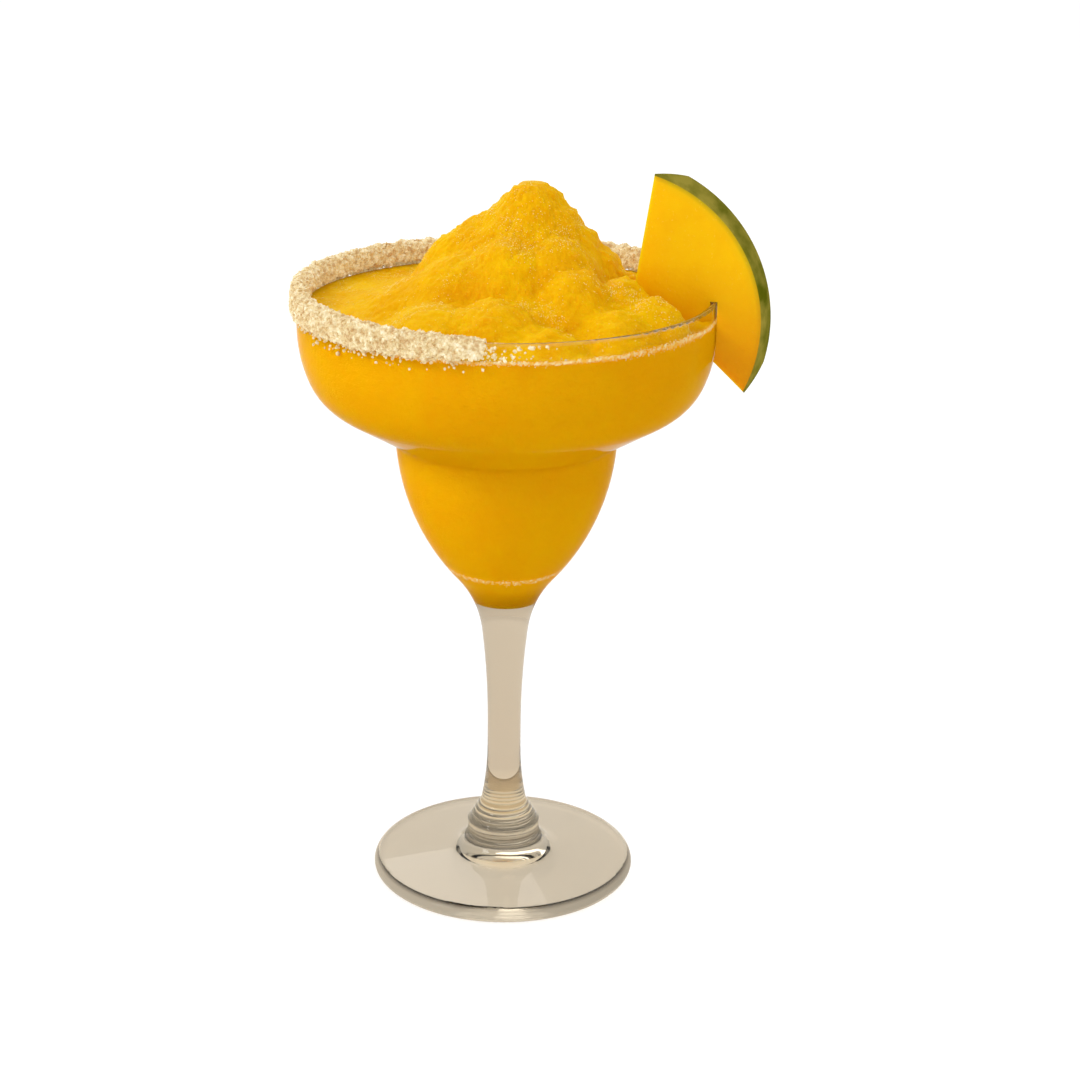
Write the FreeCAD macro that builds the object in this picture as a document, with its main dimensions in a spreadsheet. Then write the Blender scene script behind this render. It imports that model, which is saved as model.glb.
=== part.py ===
"""Frozen mango margarita in its stepped glass, with a salted rim and a mango wedge on the lip.

Millimetres. The origin is the middle of the foot, on the surface the glass stands on. +Z is up, -Y is the
front, and the wedge sits on the rim at about +X.
"""
import FreeCAD, Part
import Sketcher
import math
import os
from FreeCAD import Placement, Rotation, Vector

# Driving dimensions: alias, value, what it is. Lengths in mm, angles in degrees.
SIZES = [
    # glass, outside
    ("glass_height", 175.0, "rim of the glass above the table"),
    ("rim_radius", 57.7, "outer radius at the rim"),
    ("wall", 1.7, "wall of the bowl"),
    ("foot_radius", 38.1, "outer radius of the foot"),
    ("foot_edge_low", 1.5, "rounding under the foot's edge"),
    ("foot_edge_top", 2.7, "rounding over the foot's edge"),
    ("foot_slope", 5.5, "rise of the foot's top towards the stem"),
    ("foot_blend", 7.0, "hollow bend between the foot and the stem's bead"),
    ("contact_width", 2.2, "flat ring that the foot stands on"),
    ("hollow_rise", 0.8, "rise of the foot's underside towards the middle"),
    ("dimple_radius", 11.0, "dimple in the middle of the underside"),
    ("dimple_bend", 42.0, "bend of the dimple's dome"),
    ("bead_radius", 10.5, "bead where the stem meets the foot"),
    ("bead_height", 14.6, "middle of the bead above the table"),
    ("bead_round", 1.1, "rounding of the bead"),
    ("ring_bend", 2.6, "bend of each hollow between the drawn rings over the bead"),
    ("ring_top_height", 21.6, "top of the drawn rings"),
    ("stem_radius", 4.82, "stem at its waist"),
    ("waist_low", 38.3, "bottom of the straight waist"),
    ("waist_top", 46.0, "top of the straight waist"),
    ("stem_low_bend", 84.0, "bend of the stem below its waist"),
    ("stem_top_bend", 237.0, "bend of the stem above its waist"),
    ("flare_height", 75.0, "where the stem starts to open out"),
    ("flare_bend", 30.4, "bend of the flare under the bowl"),
    ("bowl_bend", 65.6, "bend of the lower bowl"),
    ("step_radius", 31.0, "lower bowl at the step"),
    ("step_height", 132.6, "step between the two bowls"),
    ("step_blend", 2.0, "rounding of the step"),
    ("shelf_angle", 30.9, "rise of the upper bowl's underside"),
    ("shoulder_bend", 16.6, "bend of the upper bowl's shoulder"),
    ("side_bend", 37.3, "bend of the upper bowl's side"),
    ("side_height", 165.0, "where the side turns upright"),
    # glass, inside
    ("cavity_floor", 84.6, "bottom of the bowl's inside"),
    ("cavity_round", 3.0, "rounding of the bottom of the inside"),
    # frozen drink
    ("fill_gap", 0.1, "clearance of the drink from the glass"),
    ("fill_drop", 5.1, "rim down to the level of the drink at the glass"),
    ("mound_rise", 29.5, "rise of the mound over the level, without its lumps"),
    ("heap_room", 10.0, "room over the mound while it is cut to shape"),
    ("mound_power", 4.6, "how fast the broad mound falls away; more is narrower"),
    ("mound_x", 7.0, "middle of the mound"),
    ("mound_y", 2.0, "middle of the mound"),
    ("lump_merge", 0.9, "how softly one lump runs into the next"),
    # salt
    ("salt_thick", 1.3, "salt outside and above the lip"),
    ("salt_inside", 1.2, "salt inside the lip"),
    ("salt_drop", 5.0, "depth of the outer band of salt below the rim"),
    ("salt_inside_drop", 3.6, "depth of the inner band of salt below the rim"),
    ("salt_ragged", 0.45, "unevenness of the salt's edges"),
    ("salt_gap", 0.08, "clearance of the salt from the glass"),
    ("salt_start", 11.0, "bearing where the salt starts, behind the wedge"),
    ("salt_sweep", 253.0, "bearing that the salt covers, round the back and the left"),
    # mango wedge
    ("wedge_bearing", -7.0, "bearing of the wedge round the rim"),
    ("fruit_radius", 46.4, "radius of the fruit's skin"),
    ("fruit_in", 30.3, "fruit's middle inside the glass's outer rim"),
    ("fruit_drop", 6.4, "fruit's middle below the rim"),
    ("cut_front", 18.9, "front cut face before the fruit's middle"),
    ("wedge_thick", 5.5, "thickness of the wedge"),
    ("face_front", 6.65, "front cut face before the glass's axis"),
    ("apex_out", 7.8, "tip of the fan outside the fruit's middle"),
    ("apex_rise", 10.9, "tip of the fan over the fruit's middle"),
    ("apex_round", 2.0, "rounding of the tip of the fan"),
    ("top_cut", 81.5, "bearing of the upper cut seen from the front"),
    ("low_cut", -44.0, "bearing of the lower cut seen from the front"),
    ("cut_slant", 58.0, "how far the end cuts lean inwards to the back"),
    ("slit_gap", 0.12, "clearance of the slit from the glass"),
    ("wedge_gap", 0.12, "clearance of the drink from the wedge"),
]

# Lumps of the mound: x, y and rise of the top over the rim, and the bend of its dome.
LUMPS = [
    (6.2, 2.0, 28.6, 7.0),
    (0.4, 3.0, 23.6, 6.0),
    (12.6, 1.0, 23.4, 5.6),
    (-6.5, 4.0, 19.6, 6.5),
    (-13.5, 4.0, 14.6, 6.5),
    (17.0, 1.0, 17.8, 5.6),
    (21.0, 1.0, 13.2, 6.5),
    (12.5, -12.0, 17.0, 7.5),
    (0.5, -12.0, 16.5, 10.0),
    (-12.0, -10.0, 11.4, 13.0),
    (-22.0, -8.0, 4.6, 15.0),
    (-31.0, 2.0, -1.5, 22.0),
    (17.0, -22.5, 10.6, 9.0),
    (5.5, -26.5, 4.2, 11.0),
    (29.0, -19.0, 7.0, 7.5),
    (36.5, -25.0, 3.2, 8.0),
    (27.0, -33.0, 2.6, 12.0),
    (-3.0, -32.5, 4.6, 14.0),
    (-18.0, -30.0, 2.6, 18.0),
    (10.0, -40.5, -0.4, 16.0),
    (8.0, 13.0, 13.5, 9.0),
    (-5.0, 18.0, 3.0, 13.0),
    (20.0, 16.0, 3.0, 11.0),
    (6.0, 34.0, -3.0, 15.0),
    (31.0, -2.0, 5.0, 8.0),
]

AXIS = -2
TABLE = -1
RINGS = 4
MOUND_STEPS = 46
SALT_STEPS = 150
LIP_STEPS = 6
FRUIT_REACH = 1.3
APEX_SHARE = 3.0
SALT_END = 0.3
SALT_FADES = (14, 8)
SALT_WAVES = (31, 27, 37, 43, 40)

doc = FreeCAD.newDocument("FrozenMargarita")
sheet = doc.addObject("Spreadsheet::Sheet", "Sizes")
for row, (alias, value, meaning) in enumerate(SIZES, start=1):
    sheet.set("A%d" % row, meaning)
    sheet.set("B%d" % row, str(value))
    sheet.setAlias("B%d" % row, alias)
doc.recompute()


def size(alias):
    """A driving dimension as a plain number."""
    return float(sheet.get(alias))


# ---------------------------------------------------------------- plane geometry
# Outlines lie in the XZ plane. Vector(r, z) is radius and height, and an angle is measured from the radius.


def polar(radius, degrees):
    """The plane vector of this length and angle."""
    return Vector(radius * math.cos(math.radians(degrees)), radius * math.sin(math.radians(degrees)), 0)


def bearing(vector):
    """The angle of a plane vector in degrees."""
    return math.degrees(math.atan2(vector.y, vector.x))


def circles_meet(first, first_radius, second, second_radius, side):
    """Where two circles cross, on the left (side 1) or right (side -1) of the line between their centres."""
    across = second - first
    reach = across.Length
    along = (reach ** 2 + first_radius ** 2 - second_radius ** 2) / (2 * reach)
    off = math.sqrt(first_radius ** 2 - along ** 2)
    unit = across / reach
    return first + unit * along + Vector(-unit.y, unit.x, 0) * (off * side)


def line_meets_circle(point, unit, centre, radius, side):
    """Where a line crosses a circle, further along the line (side 1) or nearer (side -1)."""
    middle = (centre - point).dot(unit)
    off = (centre - point - unit * middle).Length
    return point + unit * (middle + side * math.sqrt(radius ** 2 - off ** 2))


class Outline:
    """A sketch drawn end to end, where each stretch is joined to the one before."""

    def __init__(self, body, name):
        self.sketch = body.newObject("Sketcher::SketchObject", name)
        plane = [f for f in body.Origin.OriginFeatures if f.Role == "XZ_Plane"][0]
        self.sketch.AttachmentSupport = [(plane, "")]
        self.sketch.MapMode = "FlatFace"
        self.start_again()

    def start_again(self, guide=False):
        """Begins another run of stretches, which only guides the others if guide is set."""
        self.guide = guide
        self.first = None
        self.last = None

    def _add(self, shape, start, end, smooth):
        index = self.sketch.addGeometry(shape, self.guide)
        if self.last is None:
            self.first = (index, start)
        else:
            kind = "Tangent" if smooth else "Coincident"
            self.hold(kind, *self.last, index, start)
        self.last = (index, end)
        return index

    def line(self, start, end, smooth=False):
        """A straight stretch, in line with the one before where it is smooth."""
        return self._add(Part.LineSegment(start, end), 1, 2, smooth)

    def arc(self, start, end, centre, smooth=False):
        """A stretch of a circle, the shorter way round from start to end."""
        circle = Part.Circle(centre, Vector(0, 0, 1), (start - centre).Length)
        counter = (start - centre).cross(end - centre).z > 0
        low, high = (start, end) if counter else (end, start)
        low_angle = math.radians(bearing(low - centre))
        high_angle = math.radians(bearing(high - centre))
        if high_angle < low_angle:
            high_angle += 2 * math.pi
        ends = (1, 2) if counter else (2, 1)
        return self._add(Part.ArcOfCircle(circle, low_angle, high_angle), *ends, smooth)

    def close(self):
        """Joins the last stretch to the first."""
        self.hold("Coincident", *self.last, *self.first)

    def hold(self, kind, *where):
        """Adds a constraint that has no size."""
        self.sketch.addConstraint(Sketcher.Constraint(kind, *where))

    def bind(self, expression, kind, *where):
        """Adds a size that follows the sheet."""
        value = self.sketch.evalExpression(expression)
        if kind == "Angle":
            value = math.radians(float(value.Value))
        number = self.sketch.addConstraint(Sketcher.Constraint(kind, *where, float(value)))
        self.sketch.setExpression("Constraints[%d]" % number, expression)

    def radius(self, index, expression):
        """Sets the bend of an arc."""
        self.bind(expression, "Radius", index)

    def place(self, index, end, across=None, up=None):
        """Sets how far an end (1, 2) or centre (3) is from the axis, and its height."""
        if across:
            self.bind(across, "DistanceX", -1, 1, index, end)
        if up:
            self.bind(up, "DistanceY", -1, 1, index, end)




# ---------------------------------------------------------------- the glass's outline


def bowl_points():
    """The centres and ends of the arcs of the glass's outside, from the stem's waist to the rim."""
    waist = Vector(size("stem_radius"), size("waist_top"), 0)
    stem = waist + Vector(size("stem_top_bend"), 0, 0)
    lift = math.degrees(math.asin((size("flare_height") - size("waist_top")) / size("stem_top_bend")))
    flare_start = stem + polar(size("stem_top_bend"), 180 - lift)
    flare = stem + polar(size("stem_top_bend") - size("flare_bend"), 180 - lift)
    step = Vector(size("step_radius"), size("step_height"), 0)
    bowl = circles_meet(flare, size("flare_bend") + size("bowl_bend"), step, size("bowl_bend"), 1)
    shelf = polar(1, size("shelf_angle"))
    above = Vector(-shelf.y, shelf.x, 0)
    blend = line_meets_circle(
        step - above * size("step_blend"), shelf, bowl, size("bowl_bend") + size("step_blend"), 1
    )
    side = Vector(size("rim_radius") - size("side_bend"), size("side_height"), 0)
    shoulder = line_meets_circle(
        step + above * size("shoulder_bend"), shelf, side, size("side_bend") - size("shoulder_bend"), 1
    )
    return dict(
        waist=waist, stem=stem, flare_start=flare_start, flare=flare, step=step, bowl=bowl, above=above,
        blend=blend, side=side, shoulder=shoulder,
    )


def ends_at(points, inset):
    """The joints between the arcs, on a surface this far inside the glass's outside."""
    flare, bowl, blend = points["flare"], points["bowl"], points["blend"]
    side, shoulder, above = points["side"], points["shoulder"], points["above"]
    unit = {
        "bowl": (bowl - flare).normalize(),
        "blend": (blend - bowl).normalize(),
        "side": (shoulder - side).normalize(),
    }
    return dict(
        flare_end=flare + unit["bowl"] * (size("flare_bend") + inset),
        bowl_end=bowl + unit["blend"] * (size("bowl_bend") - inset),
        shelf_start=blend + above * (size("step_blend") + inset),
        shelf_end=shoulder - above * (size("shoulder_bend") - inset),
        side_start=side + unit["side"] * (size("side_bend") - inset),
        side_end=Vector(size("rim_radius") - inset, size("side_height"), 0),
    )


def draw_outside(outline):
    """Draws the glass's outside from the stem's waist to the rim, and returns its arcs by name."""
    points = bowl_points()
    ends = ends_at(points, 0)
    rim = Vector(size("rim_radius"), size("glass_height") - size("wall") / 2, 0)
    arcs = {}
    joined = outline.last is not None
    arcs["stem"] = outline.arc(points["waist"], points["flare_start"], points["stem"], joined)
    if not joined:
        outline.hold("Horizontal", arcs["stem"], 3, *outline.first)
        outline.place(*outline.first, "Sizes.stem_radius", "Sizes.waist_top")
    arcs["flare"] = outline.arc(points["flare_start"], ends["flare_end"], points["flare"], True)
    arcs["bowl"] = outline.arc(ends["flare_end"], ends["bowl_end"], points["bowl"], True)
    arcs["blend"] = outline.arc(ends["bowl_end"], ends["shelf_start"], points["blend"], True)
    arcs["shelf"] = outline.line(ends["shelf_start"], ends["shelf_end"], True)
    arcs["shoulder"] = outline.arc(ends["shelf_end"], ends["side_start"], points["shoulder"], True)
    arcs["side"] = outline.arc(ends["side_start"], ends["side_end"], points["side"], True)
    arcs["rim"] = outline.line(ends["side_end"], rim, True)
    for name, bend in (
        ("stem", "stem_top_bend"), ("flare", "flare_bend"), ("bowl", "bowl_bend"), ("blend", "step_blend"),
        ("shoulder", "shoulder_bend"), ("side", "side_bend"),
    ):
        outline.radius(arcs[name], "Sizes." + bend)
    outline.place(arcs["flare"], start_of(outline, arcs["flare"], points["flare_start"]), up="Sizes.flare_height")
    outline.bind("Sizes.shelf_angle * 1 deg", "Angle", arcs["shelf"])
    outline.hold("Vertical", arcs["rim"])
    outline.place(arcs["rim"], 1, "Sizes.rim_radius", "Sizes.side_height")
    outline.place(arcs["rim"], 2, up="Sizes.glass_height - Sizes.wall / 2")
    corner = outline.sketch.addGeometry(Part.Point(points["step"]), True)
    outline.hold("PointOnObject", corner, 1, arcs["bowl"])
    outline.hold("PointOnObject", corner, 1, arcs["shelf"])
    outline.place(corner, 1, "Sizes.step_radius", "Sizes.step_height")
    return arcs


def start_of(outline, index, point):
    """Which end of an arc, 1 or 2, lies at a point."""
    gap = [(outline.sketch.getPoint(index, end) - point).Length for end in (1, 2)]
    return 1 if gap[0] < gap[1] else 2


def draw_inside(outline, arcs, inset, top, smooth_top):
    """Draws a surface that keeps inside the outside by an inset, from a height down to its floor and the axis.

    The inset is an expression, and arcs are the outside's, which share their centres with this surface's."""
    depth = float(outline.sketch.evalExpression(inset))
    points = bowl_points()
    ends = ends_at(points, depth)
    flare, turn, floor = points["flare"], size("cavity_round"), size("cavity_floor")
    reach = size("flare_bend") + depth
    corner = line_meets_circle(Vector(0, floor + turn, 0), Vector(1, 0, 0), flare, reach + turn, -1)
    flare_foot = flare + (corner - flare).normalize() * reach
    upright = outline.line(Vector(size("rim_radius") - depth, top, 0), ends["side_end"], smooth_top)
    side = outline.arc(ends["side_end"], ends["side_start"], points["side"])
    shoulder = outline.arc(ends["side_start"], ends["shelf_end"], points["shoulder"], True)
    shelf = outline.line(ends["shelf_end"], ends["shelf_start"], True)
    blend = outline.arc(ends["shelf_start"], ends["bowl_end"], points["blend"], True)
    bowl = outline.arc(ends["bowl_end"], ends["flare_end"], points["bowl"], True)
    wide = outline.arc(ends["flare_end"], flare_foot, flare, True)
    corner_arc = outline.arc(flare_foot, Vector(corner.x, floor, 0), corner, True)
    bottom = outline.line(Vector(corner.x, floor, 0), Vector(0, floor, 0), True)
    for index, name in ((side, "side"), (shoulder, "shoulder"), (blend, "blend"), (bowl, "bowl"), (wide, "flare")):
        outline.hold("Coincident", index, 3, arcs[name], 3)
    outline.hold("Parallel", shelf, arcs["shelf"])
    outline.place(upright, 2, up="Sizes.side_height")
    outline.radius(corner_arc, "Sizes.cavity_round")
    outline.hold("Horizontal", bottom)
    outline.place(bottom, 2, up="Sizes.cavity_floor")
    outline.hold("PointOnObject", bottom, 2, AXIS)
    return upright


# ---------------------------------------------------------------- the pieces


def new_body(name):
    body = doc.addObject("PartDesign::Body", name)
    body.Label = name
    doc.recompute()
    return body


def spin(body, outline, name):
    """Turns an outline round the axis."""
    doc.recompute()
    feature = body.newObject("PartDesign::Revolution", name)
    feature.Profile = outline.sketch
    feature.ReferenceAxis = (outline.sketch, ["V_Axis"])
    feature.Angle = 360
    doc.recompute()


def draw_foot(outline):
    """Draws the underside, the edge and top of the foot, the bead, the drawn rings and the stem's waist."""
    dome = math.sqrt(size("dimple_bend") ** 2 - size("dimple_radius") ** 2)
    dimple_centre = Vector(0, size("hollow_rise") - dome, 0)
    dimple_edge = Vector(size("dimple_radius"), size("hollow_rise"), 0)
    outer = size("foot_radius") - size("foot_edge_low")
    slope = polar(1, 180 - size("foot_slope"))
    above = Vector(slope.y, -slope.x, 0)
    low_centre = Vector(outer, size("foot_edge_low"), 0)
    top_centre = Vector(size("foot_radius") - size("foot_edge_top"), size("foot_edge_low"), 0)
    top_start = top_centre + above * size("foot_edge_top")
    bead = Vector(size("bead_radius") - size("bead_round"), size("bead_height"), 0)
    blend_reach = size("bead_round") + size("foot_blend")
    blend = line_meets_circle(top_start + above * size("foot_blend"), slope, bead, blend_reach, -1)
    bead_end = bead + polar(size("bead_round"), 45)

    dimple = outline.arc(dimple_centre + Vector(0, size("dimple_bend"), 0), dimple_edge, dimple_centre)
    outline.hold("PointOnObject", dimple, 3, AXIS)
    outline.hold("PointOnObject", *outline.first, AXIS)
    outline.radius(dimple, "Sizes.dimple_bend")
    outline.place(*outline.last, "Sizes.dimple_radius", "Sizes.hollow_rise")

    outline.line(dimple_edge, Vector(outer - size("contact_width"), 0, 0))
    outline.place(*outline.last, "Sizes.foot_radius - Sizes.foot_edge_low - Sizes.contact_width")
    outline.hold("PointOnObject", *outline.last, TABLE)
    outline.line(Vector(outer - size("contact_width"), 0, 0), Vector(outer, 0, 0))
    outline.place(*outline.last, "Sizes.foot_radius - Sizes.foot_edge_low")
    outline.hold("PointOnObject", *outline.last, TABLE)

    low = outline.arc(Vector(outer, 0, 0), Vector(size("foot_radius"), low_centre.y, 0), low_centre, True)
    outline.radius(low, "Sizes.foot_edge_low")
    outline.hold("Horizontal", low, 3, *outline.last)
    top = outline.arc(Vector(size("foot_radius"), top_centre.y, 0), top_start, top_centre, True)
    outline.radius(top, "Sizes.foot_edge_top")
    face = outline.line(top_start, blend - above * size("foot_blend"), True)
    outline.bind("(180 - Sizes.foot_slope) * 1 deg", "Angle", face)
    bead_start = bead + (blend - bead).normalize() * size("bead_round")
    hollow = outline.arc(blend - above * size("foot_blend"), bead_start, blend, True)
    outline.radius(hollow, "Sizes.foot_blend")
    bead_arc = outline.arc(bead_start, bead_end, bead, True)
    outline.radius(bead_arc, "Sizes.bead_round")
    outline.place(bead_arc, 3, "Sizes.bead_radius - Sizes.bead_round", "Sizes.bead_height")
    outline.bind("Sizes.bead_height + Sizes.bead_round * sin(45 deg)", "DistanceY", -1, 1, *outline.last)
    return bead_end


def draw_stem(outline, bead_end):
    """Draws the drawn rings over the bead, and the stem up to its waist."""
    low_centre = Vector(size("stem_radius") + size("stem_low_bend"), size("waist_low"), 0)
    drop = size("waist_low") - size("ring_top_height")
    across = math.sqrt(size("stem_low_bend") ** 2 - drop ** 2)
    rings_end = Vector(low_centre.x - across, size("ring_top_height"), 0)
    guide = outline.sketch.addGeometry(Part.LineSegment(bead_end, rings_end), True)
    outline.hold("Coincident", guide, 1, *outline.last)
    start_height = "(Sizes.bead_height + Sizes.bead_round * sin(45 deg))"
    previous = bead_end
    for ring in range(1, RINGS + 1):
        ridge = bead_end + (rings_end - bead_end) * (ring / RINGS)
        chord = ridge - previous
        middle = (ridge + previous) / 2
        outward = Vector(chord.y, -chord.x, 0).normalize()
        off = math.sqrt(size("ring_bend") ** 2 - (chord.Length / 2) ** 2)
        ring_arc = outline.arc(previous, ridge, middle + outward * off)
        outline.radius(ring_arc, "Sizes.ring_bend")
        if ring < RINGS:
            outline.hold("PointOnObject", *outline.last, guide)
            height = "%s + (Sizes.ring_top_height - %s) * %d / %d" % (start_height, start_height, ring, RINGS)
            outline.bind(height, "DistanceY", -1, 1, *outline.last)
        previous = ridge
    outline.hold("Coincident", guide, 2, *outline.last)

    foot_of_waist = Vector(size("stem_radius"), size("waist_low"), 0)
    low = outline.arc(rings_end, foot_of_waist, low_centre)
    outline.radius(low, "Sizes.stem_low_bend")
    outline.hold("Horizontal", low, 3, *outline.last)
    outline.place(*outline.last, "Sizes.stem_radius", "Sizes.waist_low")
    outline.bind("Sizes.ring_top_height", "DistanceY", -1, 1, low, start_of(outline, low, rings_end))
    outline.line(foot_of_waist, Vector(size("stem_radius"), size("waist_top"), 0), True)
    outline.place(*outline.last, up="Sizes.waist_top")


def draw_lip(outline):
    """Draws the rounded lip over the wall."""
    half = size("wall") / 2
    centre = Vector(size("rim_radius") - half, size("glass_height") - half, 0)
    outer = outline.arc(centre + polar(half, 0), centre + polar(half, 90), centre, True)
    outline.radius(outer, "Sizes.wall / 2")
    outline.hold("Vertical", outer, 3, *outline.last)
    inner = outline.arc(centre + polar(half, 90), centre + polar(half, 180), centre, True)
    outline.radius(inner, "Sizes.wall / 2")
    outline.hold("Horizontal", inner, 3, *outline.last)
    return centre.y


def make_glass():
    """The glass is one piece, turned from one outline."""
    body = new_body("glass")
    outline = Outline(body, "glass_outline")
    bead_end = draw_foot(outline)
    draw_stem(outline, bead_end)
    arcs = draw_outside(outline)
    lip_height = draw_lip(outline)
    draw_inside(outline, arcs, "Sizes.wall", lip_height, True)
    outline.line(Vector(0, size("cavity_floor"), 0), outline.sketch.getPoint(*outline.first))
    outline.close()
    spin(body, outline, "glass_turned")
    return body


def make_room(name, inset, top):
    """A solid as wide as the glass's outside less an inset, from the bowl's floor up to a height."""
    body = new_body(name)
    outline = Outline(body, name + "_outline")
    outline.start_again(guide=True)
    arcs = draw_outside(outline)
    outline.start_again()
    height = float(outline.sketch.evalExpression(top))
    edge = size("rim_radius") - float(outline.sketch.evalExpression(inset))
    lid = outline.line(Vector(0, height, 0), Vector(edge, height, 0))
    outline.hold("PointOnObject", lid, 1, AXIS)
    outline.hold("Horizontal", lid)
    outline.place(lid, 2, "Sizes.rim_radius - (%s)" % inset, top)
    upright = draw_inside(outline, arcs, inset, height, False)
    outline.hold("Vertical", upright)
    outline.line(Vector(0, size("cavity_floor"), 0), Vector(0, height, 0))
    outline.close()
    spin(body, outline, name + "_turned")
    return body


def boolean(kind, name, base, tool):
    """A Part boolean of two objects, such as Cut or Common."""
    result = doc.addObject("Part::" + kind, name)
    result.Label = name
    result.Base = base
    result.Tool = tool
    return result


def make_fruit_piece(name, gap="0"):
    """A fan-shaped wedge of fruit, front face towards -Y, before it is slit. Every side is moved out by a gap."""
    middle_x = "Sizes.rim_radius - Sizes.fruit_in"
    middle_z = "Sizes.glass_height - Sizes.fruit_drop"
    fruit = doc.addObject("Part::Sphere", name + "_fruit")
    fruit.setExpression("Radius", "Sizes.fruit_radius + " + gap)
    fruit.setExpression("Placement.Base.x", middle_x)
    fruit.setExpression("Placement.Base.y", "Sizes.cut_front - Sizes.face_front")
    fruit.setExpression("Placement.Base.z", middle_z)

    fan = new_body(name + "_fan")
    outline = Outline(fan, name + "_fan_outline")
    clearance = float(outline.sketch.evalExpression(gap))
    reach = FRUIT_REACH * size("fruit_radius")
    long_side = "%s * Sizes.fruit_radius" % FRUIT_REACH
    apex = Vector(size("apex_out") - APEX_SHARE * clearance, size("apex_rise"), 0)
    upper, lower = polar(1, size("top_cut")), polar(1, size("low_cut"))
    half = math.radians(size("top_cut") - size("low_cut")) / 2
    inset = size("apex_round") / math.tan(half)
    centre = apex + (upper + lower).normalize() * (size("apex_round") / math.sin(half))
    far_top, far_low = apex + upper * reach, apex + lower * reach
    far_side = Vector(reach + size("apex_out"), 0, 0)
    tip = outline.sketch.addGeometry(Part.Point(apex), True)
    outline.place(tip, 1, "Sizes.apex_out - %s * %s" % (APEX_SHARE, gap), "Sizes.apex_rise")
    nose = outline.arc(apex + lower * inset, apex + upper * inset, centre)
    outline.radius(nose, "Sizes.apex_round")
    top = outline.line(apex + upper * inset, far_top, True)
    outline.bind("Sizes.top_cut * 1 deg", "Angle", top)
    outline.hold("PointOnObject", tip, 1, top)
    outline.place(*outline.last, up="Sizes.apex_rise + %s * sin(Sizes.top_cut * 1 deg)" % long_side)
    outline.line(far_top, Vector(far_side.x, far_top.y, 0))
    outline.hold("Horizontal", outline.last[0])
    outline.place(*outline.last, "Sizes.apex_out + " + long_side)
    outline.line(Vector(far_side.x, far_top.y, 0), Vector(far_side.x, far_low.y, 0))
    outline.hold("Vertical", outline.last[0])
    outline.line(Vector(far_side.x, far_low.y, 0), far_low)
    outline.hold("Horizontal", outline.last[0])
    outline.place(*outline.last, up="Sizes.apex_rise + %s * sin(Sizes.low_cut * 1 deg)" % long_side)
    low = outline.line(far_low, apex + lower * inset)
    outline.hold("Tangent", *outline.last, *outline.first)
    outline.bind("(180 + Sizes.low_cut) * 1 deg", "Angle", low)
    outline.hold("PointOnObject", tip, 1, low)
    doc.recompute()
    slab = fan.newObject("PartDesign::Pad", name + "_slab")
    slab.Profile = outline.sketch
    slab.Reversed = True
    slab.setExpression("Length", "Sizes.wedge_thick + 2 * " + gap)
    slab.setExpression("TaperAngle", "-Sizes.cut_slant * 1 deg")
    fan.setExpression("Placement.Base.x", middle_x)
    fan.setExpression("Placement.Base.y", "-Sizes.face_front - " + gap)
    fan.setExpression("Placement.Base.z", middle_z)
    doc.recompute()
    return boolean("Common", name + "_piece", fruit, fan)


def turn_to_wedge(obj):
    """Turns an object round the glass to the wedge's bearing."""
    obj.Placement = Placement(Vector(0, 0, 0), Rotation(Vector(0, 0, 1), size("wedge_bearing")))
    obj.setExpression("Placement.Rotation.Angle", "Sizes.wedge_bearing * 1 deg")


def make_wedge():
    """The wedge is slit from below and pushed down until the slit's end sits on the lip."""
    piece = make_fruit_piece("wedge")
    slit_out = make_room("slit_outside", "-Sizes.slit_gap", "Sizes.glass_height + Sizes.slit_gap")
    slit_in = make_room("slit_inside", "Sizes.wall + Sizes.slit_gap", "Sizes.glass_height + 2 * Sizes.slit_gap")
    slit = boolean("Cut", "slit", slit_out, slit_in)
    wedge = boolean("Cut", "mango_wedge", piece, slit)
    turn_to_wedge(wedge)
    return wedge


def mound_height(x, y):
    """The height of the drink's surface: one broad mound, with lumps merged into it."""
    across, along = x - size("mound_x"), y - size("mound_y")
    distance = math.hypot(across, along)
    inner = size("rim_radius") - size("wall")
    share = 0.0
    if distance > 0:
        lean = (size("mound_x") * across + size("mound_y") * along) / distance
        middle = math.hypot(size("mound_x"), size("mound_y"))
        share = distance / (math.sqrt(lean ** 2 + inner ** 2 - middle ** 2) - lean)
    level = size("glass_height") - size("fill_drop")
    broad = level + size("mound_rise") * max(0.0, 1 - share ** 2) ** size("mound_power")
    soft = size("lump_merge")
    total = 1.0
    for lump_x, lump_y, rise, bend in LUMPS:
        dome = size("glass_height") + rise - ((x - lump_x) ** 2 + (y - lump_y) ** 2) / (2 * bend)
        total += math.exp((dome - broad) / soft)
    return broad + soft * math.log(total)


def make_mound():
    """A block whose top is the drink's surface, wider than the glass."""
    half = size("rim_radius")
    ticks = [-half + 2 * half * step / MOUND_STEPS for step in range(MOUND_STEPS + 1)]
    surface = Part.BSplineSurface()
    surface.interpolate([[Vector(x, y, mound_height(x, y)) for y in ticks] for x in ticks])
    skin = doc.addObject("Part::Feature", "mound_skin")
    skin.Shape = surface.toShape()
    block = doc.addObject("Part::Extrusion", "mound_block")
    block.Base = skin
    block.DirMode = "Custom"
    block.Dir = Vector(0, 0, -1)
    block.Solid = True
    block.setExpression("LengthFwd", "Sizes.glass_height")
    return block


def make_slush():
    """The drink fills the bowl, is heaped over it, and is cut away round the wedge."""
    top = "Sizes.glass_height + Sizes.mound_rise + Sizes.heap_room"
    room = make_room("drink_room", "Sizes.wall + Sizes.fill_gap", top)
    heap = boolean("Common", "drink_heap", room, make_mound())
    wedge_room = make_fruit_piece("wedge_room", "Sizes.wedge_gap")
    turn_to_wedge(wedge_room)
    return boolean("Cut", "slush", heap, wedge_room)


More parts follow.
